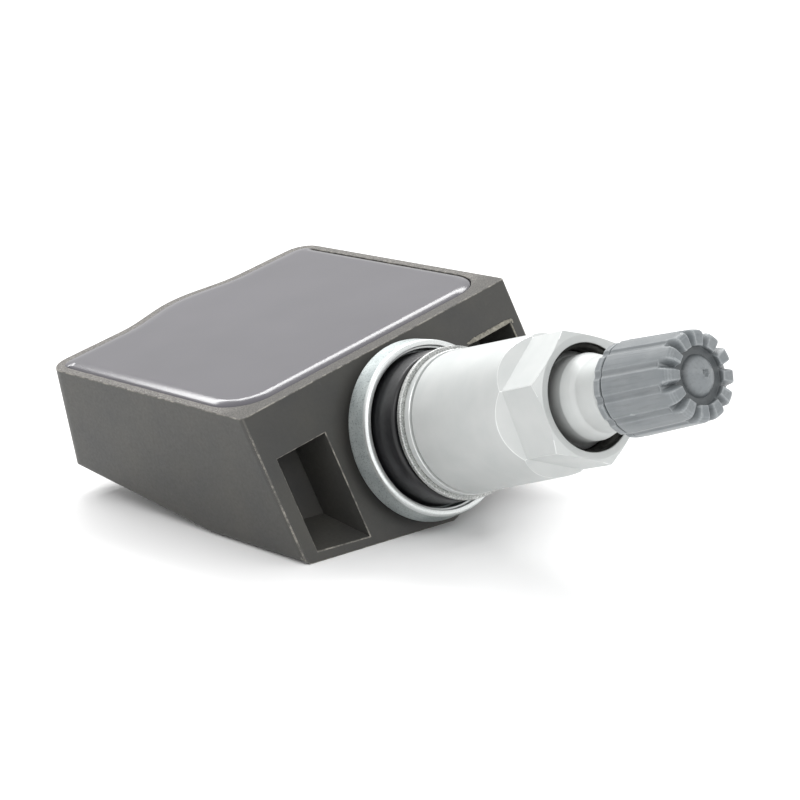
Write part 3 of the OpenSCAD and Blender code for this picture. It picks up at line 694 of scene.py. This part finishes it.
def bead(path, half_width, height, seed, steps=90, columns=12):
    """A ragged bead of flash along a path on the front face, sunk a little into it."""
    lengths = [(b - a).length for a, b in zip(path, path[1:])]
    whole = sum(lengths)
    points, faces = [], []
    for k in range(steps + 1):
        run = whole * k / steps
        leg = 0
        while leg < len(lengths) - 1 and run > lengths[leg]:
            run -= lengths[leg]
            leg += 1
        along = (path[leg + 1] - path[leg]).normalized()
        across = Vector((-along.y, along.x))
        at = path[leg] + along * run
        rough = noise.noise(Vector((k * 0.31, seed, 0)))
        fine = noise.noise(Vector((k * 0.9, seed, 5)))
        taper = 0.35 + 0.65 * min(1, 6 * k / steps, 6 * (steps - k) / steps)
        width = half_width * (1 + 0.3 * rough + 0.25 * fine) * taper
        centre = at + across * half_width * (0.25 * rough + 0.15 * fine)
        for j in range(columns):
            turn = 2 * math.pi * j / columns
            lump = 1 + 0.35 * noise.noise(Vector((k * 0.7, j * 0.8, seed)))
            side = centre + across * width * math.cos(turn)
            points.append((side.x, side.y, max(math.sin(turn), -0.5) * height * lump * taper))
    for k in range(steps):
        for j in range(columns):
            beside = (j + 1) % columns
            row = k * columns
            faces.append((row + j, row + beside, row + columns + beside, row + columns + j))
    faces.append(tuple(range(columns)))
    faces.append(tuple(range(steps * columns, (steps + 1) * columns)))
    return points, faces


def make_flash(material):
    """The moulding flash along the right pocket's mouth: a ragged band and a thin line beside it."""
    top = POCKET_TOP + FLASH_W * 0.9
    band = bead([
        Vector((POCKET_LEFT + 0.3, top)), Vector((POCKET_RIGHT + FLASH_REACH, top)),
        Vector((POCKET_RIGHT + FLASH_REACH, top - 0.45)),
    ], FLASH_W, FLASH_H, 3)
    line = bead([
        Vector((POCKET_RIGHT + 0.08, top - 0.3)), Vector((POCKET_RIGHT + 0.08, POCKET_TOP - 4.2)),
    ], 0.1, 0.1, 8)
    points = [*band[0], *line[0]]
    faces = [*band[1], *(tuple(i + len(band[0]) for i in face) for face in line[1])]
    mesh = bpy.data.meshes.new("pocket_flash_mesh")
    mesh.from_pydata(points, [], faces)
    mesh.transform(Matrix.Scale(MM, 4))
    face_outwards(mesh)
    return add_piece("pocket_flash", mesh, FACE_PLACE, material, "sensor", crease=60)


def make_potting(material):
    """The resin: it laps over the back of the rim, and its flat top falls off in a round band."""
    work = cad_mesh("potting")
    up = SENSOR_PLACE.to_3x3() @ Vector((0, 0, 1))
    back = SENSOR_PLACE.to_3x3() @ Vector((0, 1, 0))
    top = max((f for f in work.faces if f.normal.dot(up) > 0.999), key=lambda f: f.calc_area())
    loop = list(top.verts)
    inward = []
    for i, vertex in enumerate(loop):
        before = (vertex.co - loop[i - 1].co).normalized()
        after = (loop[(i + 1) % len(loop)].co - vertex.co).normalized()
        inward.append(up.cross(before + after).normalized())
    backward = [float(smooth_step(-side.dot(back) * 1.5)) for side in inward]
    lap = [LAP_FRONT + (LAP_BACK - LAP_FRONT) * share for share in backward]
    raised = [float(smooth_step((width - LAP_FRONT) / (LAP_BACK - LAP_FRONT) * 2)) for width in lap]
    work.faces.remove(top)
    rings = [loop]

    def ring(inset_at, rise_at):
        rings.append([
            work.verts.new(v.co + (side * inset_at(i) + up * rise_at(i)) * MM)
            for i, (v, side) in enumerate(zip(loop, inward))
        ])

    reach = [width * high for width, high in zip(lap, raised)]
    foot = [LIP_RISE + (FILL_SINK - LIP_RISE) * high for high in raised]
    ring(lambda i: 0.01, lambda i: foot[i] / 2)
    ring(lambda i: 0.03 - reach[i], lambda i: foot[i] + 0.03)
    for k in range(1, CROWN_STEPS + 1):
        share = k / CROWN_STEPS
        swell = 1 - (1 - share) ** CROWN_POWER
        ring(
            lambda i: 0.08 - reach[i] + (CROWN_W - 0.08 + reach[i]) * share,
            lambda i: foot[i] + 0.06 + (CROWN_H + FILL_SINK - foot[i]) * swell,
        )
    for outer, inner in zip(rings, rings[1:]):
        for i in range(len(loop)):
            k = (i + 1) % len(loop)
            work.faces.new((outer[i], outer[k], inner[k], inner[i]))
    work.faces.new(rings[-1])
    mesh = finished_mesh(work, "potting_mesh")
    return add_piece("resin_fill", mesh, Matrix(), material, "sensor", "potting")


def make_cup(material):
    """The seal's cup, whose inner wall steps inwards behind its mouth."""
    lip_r = CUP_INNER_R - LIP_W
    outline = rounded([
        (STEM_HOLE_R, CUP_BACK, 0.1), (CUP_BACK_R, CUP_BACK, 0.25), (CUP_FRONT_R, CUP_END, CUP_ROUND),
        (CUP_INNER_R, CUP_END, 0.12), (CUP_INNER_R, CUP_END - LIP_SINK, 0.06),
        (lip_r, CUP_END - LIP_SINK, 0.12), (lip_r, CUP_BACK + CUP_FLOOR, 0.15),
        (STEM_HOLE_R, CUP_BACK + CUP_FLOOR, 0.1),
    ], 6)
    mesh = turned("seal_cup_mesh", outline, CUP_COLUMNS)
    return add_piece("plated_cup", mesh, STEM_PLACE, material, "sensor", "seal_cup")


def make_grommet(material):
    """The rubber ring in the cup."""
    floor = CUP_BACK + CUP_FLOOR
    outline = rounded([
        (STEM_HOLE_R, floor, 0.1), (GROMMET_R, floor, 0.2), (GROMMET_FRONT_R, GROMMET_END, 0.55),
        (STEM_HOLE_R, GROMMET_END, 0.2),
    ], 6)
    outline = divided(outline, lambda a, b: 0.4)
    mesh = turned("grommet_mesh", outline, GROMMET_COLUMNS)
    return add_piece(
        "rubber_ring", mesh, STEM_PLACE, material, "sensor", "rubber_grommet",
    )


def make_washer(material):
    """The captive washer at the nut's inner end."""
    outline = rounded([
        (COUNTER_R, WASHER_START, 0.1), (WASHER_R, WASHER_START, 0.14),
        (WASHER_R, NUT_START, 0.14), (COUNTER_R, NUT_START, 0.1),
    ])
    mesh = turned("washer_mesh", outline, WASHER_COLUMNS)
    return add_piece("flat_washer", mesh, STEM_PLACE, material, "washer", "nut_washer")


def flat_cutter():
    """A wedge that cuts one flat of the hexagon and the sloped shoulder behind it."""
    flat, reach, half = HEX_AF / 2, HEX_AF / 2 + 3, 5
    slope = math.tan(math.radians(SHOULDER_ANGLE))
    section = [(flat, FLAT_AT), (flat, NUT_END + 1), (reach, NUT_END + 1), (reach, FLAT_AT - 3 * slope)]
    points = [(x, side * half, z) for side in (-1, 1) for x, z in section]
    faces = [(0, 1, 2, 3), (4, 5, 6, 7), (0, 1, 5, 4), (1, 2, 6, 5), (2, 3, 7, 6), (3, 0, 4, 7)]
    mesh = bpy.data.meshes.new("flat_cutter")
    mesh.from_pydata(points, [], faces)
    mesh.transform(Matrix.Scale(MM, 4))
    face_outwards(mesh)
    return mesh


def cut_by(mesh, cutters):
    """The mesh with each cutter, a mesh and its place, taken away from it."""
    scene = bpy.context.scene
    body = bpy.data.objects.new("cut_body", mesh)
    scene.collection.objects.link(body)
    tools = []
    for shape, place in cutters:
        tool = bpy.data.objects.new("cut_tool", shape)
        scene.collection.objects.link(tool)
        tool.matrix_world = place
        cut = body.modifiers.new("cut", "BOOLEAN")
        cut.operation = "DIFFERENCE"
        cut.solver = "EXACT"
        cut.object = tool
        tools.append(tool)
    result = bpy.data.meshes.new_from_object(body.evaluated_get(bpy.context.evaluated_depsgraph_get()))
    for made in (body, *tools):
        bpy.data.objects.remove(made)
    return result


def burnished(mesh, name, width, end):
    """The mesh with narrow chamfers, in its second material, on its convex edges up to a station."""
    work = bmesh.new()
    work.from_mesh(mesh)
    bmesh.ops.remove_doubles(work, verts=work.verts, dist=MERGE_D * MM)
    edges = [e for e in work.edges if len(e.link_faces) == 2 and e.is_convex]
    edges = [e for e in edges if e.calc_face_angle() > math.radians(BURNISHED_FROM)]
    edges = [e for e in edges if max(v.co.z for v in e.verts) < end * MM]
    bmesh.ops.bevel(
        work, geom=edges, offset=width * MM, segments=1, profile=0.5, affect="EDGES", material=1,
    )
    return finished_mesh(work, name)


def make_nut(material, edge_material):
    """The collar nut: a turned sleeve with six flats cut into its outer end."""
    body_r = NUT_BORE_R + NUT_THREAD_D + 0.05
    groove_r = SLEEVE_BACK_R - NUT_GROOVE
    ring_end = NUT_START + RING_W
    chamfer_l = (SLEEVE_FRONT_R - HEX_AF / 2) * math.tan(math.radians(CHAMFER_ANGLE))
    outline = rounded([
        (COUNTER_R, NUT_START, 0.15), (RING_R, NUT_START, 0.2), (RING_R, ring_end, 0.12),
        (groove_r, ring_end, 0.06), (groove_r, ring_end + NUT_GROOVE, 0.06),
        (SLEEVE_BACK_R, ring_end + NUT_GROOVE, 0.15), (SLEEVE_FRONT_R, FLAT_AT, 0),
        (SLEEVE_FRONT_R, NUT_END - chamfer_l, 0.12), (HEX_AF / 2 - 0.01, NUT_END, 0.12),
        (body_r, NUT_END, 0.12), (body_r, NUT_START + COUNTER_D, 0),
        (COUNTER_R, NUT_START + COUNTER_D, 0),
    ])
    blank = turned("collar_nut_blank", outline, NUT_COLUMNS)
    cutter = flat_cutter()
    turns = [Matrix.Rotation(math.radians(HEX_TURN + 60 * k), 4, "Z") for k in range(6)]
    shaped = cut_by(blank, [(cutter, turn) for turn in turns])
    mesh = burnished(shaped, "hexagon_nut_mesh", NUT_EDGE, NUT_EDGE_END)
    on_edge = [face.material_index for face in mesh.polygons]
    piece = add_piece("hexagon_nut", mesh, STEM_PLACE, material, "nut", "collar_nut", 14)
    mesh.materials.append(edge_material)
    mesh.polygons.foreach_set("material_index", on_edge)
    return piece


def make_nut_thread(material):
    """The nut's inner thread, a threaded lining of its bore."""
    start, end = NUT_START + COUNTER_D, NUT_END - 0.12
    root_r = NUT_BORE_R + NUT_THREAD_D
    back_r = root_r + 0.1
    rows = round((end - start) / NUT_PITCH * THREAD_STEPS)
    inside = [Vector((NUT_BORE_R, start + (end - start) * k / rows)) for k in range(rows + 1)]
    outline = [*inside, Vector((back_r, end)), Vector((back_r, start))]

    def threads(radius, station, angle):
        fade = smooth_step((end - station) / 0.6)
        depth = 1 - (1 - screw_depth(station, angle, NUT_PITCH)) * fade
        return np.where(radius < root_r, NUT_BORE_R + NUT_THREAD_D * depth, radius), station

    mesh = turned("nut_thread_mesh", outline, BORE_COLUMNS, threads)
    return add_piece("nut_thread", mesh, STEM_PLACE, material, "nut", crease=30)


def make_stem(material):
    """The valve stem with its two outer threads, its core bore and its air channel."""
    outline = rounded([
        (0, -ROOT_D, 0), (ROOT_R, -ROOT_D, 0.3), (ROOT_R, -ROOT_D + ROOT_L, 0.3),
        (GROOVE_R, -ROOT_D + ROOT_L, 0.2), (GROOVE_R, -SHOULDER_D, 0), (SHANK_R, -SHOULDER_D, 0.1),
        (SHANK_R, SHANK_END - SHANK_R + LAND_R, 0.1), (LAND_R, SHANK_END, 0.15),
        (LAND_R, LAND_END, 0.15),
        (STEP_R, STEP_AT, 0.1), (NECK_R, STEP_AT + LAND_R - NECK_R, 0.9), (NECK_R, NECK_END, 0.5),
        (VALVE_R, NECK_END + NECK_R - VALVE_R, 0.1), (VALVE_R, STEM_END - VALVE_R / 8, 0.1),
        (VALVE_R * 7 / 8, STEM_END, 0.1), (CORE_BORE_R, STEM_END, 0.15),
        (CORE_BORE_R, STEM_END - CORE_BORE_L, 0), (SEAT_BORE_R, STEM_END - CORE_BORE_L, 0),
        (SEAT_BORE_R, AIR_START, 0), (AIR_R, AIR_START, 0), (AIR_R, AIR_END, 0), (0, AIR_END, 0),
    ])
    shank = (CUP_BACK + CUP_FLOOR, SHANK_END - SHANK_R + LAND_R - 0.2, SHANK_R, NUT_PITCH)
    valve = (NECK_END + 0.9, STEM_END - VALVE_R / 8 - 0.1, VALVE_R, VALVE_PITCH)

    def step_at(here, after):
        for start, end, crest_r, pitch in (shank, valve):
            on_crest = abs(here.x - crest_r) < 0.02 and abs(after.x - crest_r) < 0.02
            if on_crest and after.y > start and here.y < end:
                return pitch / THREAD_STEPS
        return 3.0

    def threads(radius, station, angle):
        for (start, end, crest_r, pitch), depth in ((shank, NUT_THREAD_D), (valve, VALVE_THREAD_D)):
            inside = (abs(radius - crest_r) < 0.02) & (station > start) & (station < end)
            fade = smooth_step((station - start) / pitch) * smooth_step((end - station) / pitch)
            cut = depth * screw_depth(station, angle, pitch) * fade
            radius = np.where(inside, radius - cut, radius)
        return radius, station

    mesh = turned("valve_stem_mesh", divided(outline, step_at), STEM_COLUMNS, threads)
    return add_piece(
        "threaded_stem", mesh, STEM_PLACE, material, "sensor", "valve_stem", 50,
    )


def groove_radius(offset, centre_r, cutter_r):
    """Radius of the near side of a round cut parallel to the axis, seen at an angle from its middle."""
    across = centre_r * np.sin(offset)
    inside = np.maximum(cutter_r ** 2 - across ** 2, 0)
    depth = centre_r * np.cos(offset) - np.sqrt(inside)
    return np.where((abs(across) < cutter_r) & (np.cos(offset) > 0), depth, 99)


def dimple(x, y):
    """How far the ragged mark in the middle of the cap's dome raises a point."""
    x, y = x - DIMPLE_AT[0], y - DIMPLE_AT[1]
    turn = np.arctan2(y, x)
    share = np.hypot(x, y) / (DIMPLE_R * (1 + 0.14 * np.sin(3 * turn + 1) + 0.1 * np.sin(7 * turn)))
    return 0.4 * DIMPLE_D * np.exp(-((share - 1.25) / 0.3) ** 2) - DIMPLE_D * np.exp(-(share ** 4))


def cap_shape(radius, station, angle):
    """The flange's lobes, the grooves between the ribs, the slots between the teeth and the dimple."""
    pitch = 360 / TEETH
    offset = np.radians((np.degrees(angle) - RIB_TURN) % pitch - pitch / 2)
    outside = radius > CAP_BORE_R + 0.5
    body_start = CAP_START + FLANGE_T + CAP_GROOVE_W
    notch = groove_radius(offset, FLANGE_R - NOTCH_D + NOTCH_R, NOTCH_R)
    along = (station - body_start) / (CAP_END - body_start)
    rib_r = CAP_BACK_R + (CAP_FRONT_R - CAP_BACK_R) * along
    groove = groove_radius(offset, rib_r - RIB_GROOVE_D + RIB_GROOVE_R, RIB_GROOVE_R)
    on_flange = outside & (station < CAP_START + FLANGE_T + 0.01)
    on_body = outside & (station > body_start - 0.01)
    new_radius = np.where(on_flange, soft_min(radius, notch, 0.04), radius)
    new_radius = np.where(on_body, soft_min(radius, groove, 0.06), new_radius)
    slope = math.tan(math.radians(SLOT_SLOPE))
    floor = CAP_END - RECESS_D
    ring_r, ring_s = radius[:, 0], station[:, 0]
    above = (ring_s - (floor - (ring_r - RECESS_R) * slope) > 0.01) & (ring_r > RECESS_R - 0.01)
    rows = np.flatnonzero(above)
    share = np.zeros(len(radius))
    share[rows] = np.linspace(0, 1, len(rows))
    slot_r = CAP_FRONT_R + (RECESS_R - CAP_FRONT_R) * share[:, None]
    slot_s = floor - (slot_r - RECESS_R) * slope
    across = abs(slot_r * np.sin(offset))
    outward = slot_r - RECESS_R
    slot_w = SLOT_INNER_W + (SLOT_OUTER_W - SLOT_INNER_W) * outward / (CAP_FRONT_R - RECESS_R)
    wall = slot_w / 2 + TOOTH_ROUND * 0.35 - across
    depth = smooth_step(wall / TOOTH_ROUND) * above[:, None]
    shaped = new_radius + (slot_r - new_radius) * depth
    dome = (radius < DOME_R + 0.01) & (station > floor - 0.01)
    dip = np.where(dome, dimple(radius * np.cos(angle), radius * np.sin(angle)), 0)
    return shaped - np.where(outside, CAP_SKIN, 0), station + (slot_s - station) * depth + dip


def make_cap(material):
    """The valve cap: flange, ribbed body, teeth, and a dome in the recess of its end."""
    body_start = CAP_START + FLANGE_T + CAP_GROOVE_W
    recess = CAP_END - RECESS_D
    ball_r = (DOME_R ** 2 + DOME_H ** 2) / (2 * DOME_H)
    outside = rounded([
        (0, CAP_INNER_END, 0), (CAP_BORE_R, CAP_INNER_END, 0), (CAP_BORE_R, CAP_START, 0.15),
        (FLANGE_R, CAP_START, 0.3), (FLANGE_R, CAP_START + FLANGE_T, 0.2),
        (CAP_GROOVE_R, CAP_START + FLANGE_T, 0.05), (CAP_GROOVE_R, body_start, 0.05),
        (CAP_BACK_R, body_start, 0.2), (CAP_FRONT_R, CAP_END, CAP_ROUND), (RECESS_R, CAP_END, 0.15),
        (RECESS_R, recess, 0.1), (DOME_R, recess, 0),
    ])
    radii = [DOME_R * k / DOME_STEPS for k in range(DOME_STEPS - 1, 0, -1)]
    dome = [Vector((r, recess + DOME_H - ball_r + math.sqrt(ball_r ** 2 - r * r))) for r in radii]
    tip = Vector((0, recess + DOME_H + float(dimple(0, 0))))

    def step_at(here, after):
        if here.x > CAP_BORE_R and min(here.y, after.y) > body_start:
            return 0.16 if after.y > CAP_END - 2 else 0.5
        on_bore = abs(here.x - CAP_BORE_R) < 0.01 and abs(after.x - CAP_BORE_R) < 0.01
        return VALVE_PITCH / THREAD_STEPS if on_bore else 0.4

    mesh = turned("valve_cap_mesh", [*divided(outside, step_at), *dome, tip], CAP_COLUMNS, cap_shape)
    return add_piece("ribbed_cap", mesh, STEM_PLACE, material, "cap", "valve_cap")


def dress_inner_nodes():
    """Materials for the CAD nodes that stay as they are, most of them sealed in the resin."""
    looks = {
        "circuit_board": moulded("board", (38, 92, 58), (48, 110, 70), 0.4),
        "battery": metal("cell_can", (176, 180, 184), (196, 199, 202)),
        "battery_tab_top": metal("nickel_strip", (190, 190, 184), (208, 208, 202)),
        "battery_tab_bottom": metal("nickel_strip_low", (190, 190, 184), (208, 208, 202)),
        "sensor_chip": moulded("chip_body", (34, 35, 38), (44, 45, 48), 0.45),
        "radio_chip": moulded("radio_body", (32, 33, 36), (42, 43, 46), 0.42),
        "crystal": metal("crystal_can", (196, 198, 201), (210, 212, 214)),
        "capacitors": moulded("ceramic", (150, 128, 94), (174, 152, 118), 0.35),
        "wake_coil_core": moulded("ferrite", (50, 50, 53), (66, 66, 68), 0.5),
        "wake_coil_winding": metal("copper", (170, 100, 56), (196, 122, 72), 0.35),
        "antenna_strap": metal("brass_strip", (196, 162, 88), (212, 180, 106)),
        "port_filter": moulded("filter_cloth", (214, 212, 206), (238, 236, 230), 0.8, 0.03, 0.12),
        "cap_gasket": moulded("gasket_rubber", (28, 28, 30), (36, 36, 38), 0.6),
        "core_barrel": metal("core_brass", (190, 150, 70), (212, 174, 92), 0.28),
        "core_gasket": moulded("core_seal", (150, 46, 40), (172, 60, 52), 0.5),
        "core_pin": metal("pin_brass", (192, 154, 76), (214, 178, 98), 0.25),
        "core_seat": moulded("seat_rubber", (28, 28, 30), (36, 36, 38), 0.6),
        "core_spring": metal("spring_steel", (176, 178, 180), (200, 202, 204), 0.25),
    }
    for name, material in looks.items():
        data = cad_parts[name].data
        data.materials.clear()
        data.materials.append(material)


def make_floor():
    """A plain pale floor."""
    mesh = bpy.data.meshes.new("floor")
    corners = [(x * FLOOR_HALF, y * FLOOR_HALF, 0) for x, y in ((-1, -1), (1, -1), (1, 1), (-1, 1))]
    mesh.from_pydata(corners, [], [(0, 1, 2, 3)])
    floor = bpy.data.objects.new("floor", mesh)
    bpy.context.scene.collection.objects.link(floor)
    material = bpy.data.materials.new("floor_paper")
    material.use_nodes = True
    link(material.node_tree, material.node_tree.nodes["Principled BSDF"],
         Base_Color=(0.93, 0.93, 0.93, 1), Roughness=0.8)
    mesh.materials.append(material)


def make_camera():
    """The photograph's camera."""
    turn, down = math.radians(CAMERA_TURN), math.radians(CAMERA_DOWN)
    look = Vector((math.sin(turn) * math.cos(down), math.cos(turn) * math.cos(down), -math.sin(down)))
    data = bpy.data.cameras.new("camera")
    data.lens = LENS
    data.sensor_width = SENSOR
    data.clip_start = 0.01
    data.clip_end = 50
    camera = bpy.data.objects.new("camera", data)
    bpy.context.scene.collection.objects.link(camera)
    level = look.to_track_quat("-Z", "Y").to_matrix().to_4x4()
    roll = Matrix.Rotation(math.radians(-CAMERA_ROLL), 4, "Z")
    camera.matrix_world = Matrix.Translation(Vector(CAMERA_AT) * MM) @ level @ roll
    bpy.context.scene.camera = camera


def add_light(name, turn, rise, distance, width, height, radiance):
    """A softbox that faces the object; turn is clockwise from the back, as seen from above."""
    turn, rise = math.radians(turn), math.radians(rise)
    away = Vector((math.sin(turn) * math.cos(rise), math.cos(turn) * math.cos(rise), math.sin(rise)))
    data = bpy.data.lights.new(name, "AREA")
    data.shape = "RECTANGLE"
    data.size = width
    data.size_y = height
    data.energy = radiance * math.pi * width * height
    light = bpy.data.objects.new(name, data)
    bpy.context.scene.collection.objects.link(light)
    light.location = away * distance
    light.rotation_euler = away.to_track_quat("Z", "Y").to_euler()


def make_lights():
    """An even white sky and four softboxes: turn, rise, distance, width, height and radiance."""
    world = bpy.data.worlds.new("studio")
    bpy.context.scene.world = world
    world.use_nodes = True
    background = world.node_tree.nodes["Background"]
    background.inputs["Color"].default_value = (1, 1, 1, 1)
    background.inputs["Strength"].default_value = SKY
    add_light("back_box", 44, 50, 0.8, 0.5, 0.19, 11)
    add_light("edge_strip", 7, 41, 0.8, 0.3, 0.07, 17)
    add_light("left_box", -112, 50, 0.9, 0.3, 0.3, 4)
    add_light("front_box", -168, 40, 0.9, 0.24, 0.24, 5)
    bpy.context.scene.view_settings.view_transform = "Standard"


make_camera()
make_floor()
make_lights()
dress_inner_nodes()
make_housing(housing_plastic(), worn_and_highlit_edge(), scraped_rim())
make_flash(torn_flash())
make_potting(resin())
aluminium = turned_metal("satin_aluminium", (190, 193, 192), (196, 198, 197), 0.54)
make_cup(cup_plating())
make_grommet(moulded("grommet_rubber", (18, 18, 20), (25, 25, 28), 0.36, 0.008))
make_washer(speckled_metal("washer_plating", (170, 170, 168), (196, 196, 193), 0.42, 0.8))
# The nut's chamfers: smoother aluminium, their lighter colour partly burnish and partly a painted
# highlight.
make_nut(aluminium, metal("burnished_edge_highlight", (208, 210, 209), (226, 228, 227), 0.34))
# The bore's thread painted dark, a painted shade standing in for the deep, unlit bore.
make_nut_thread(metal("bore_thread_painted_shade", (56, 56, 54), (80, 80, 77), 0.45))
make_stem(aluminium)
make_cap(ribbed_plastic((112, 117, 120), (124, 128, 130)))
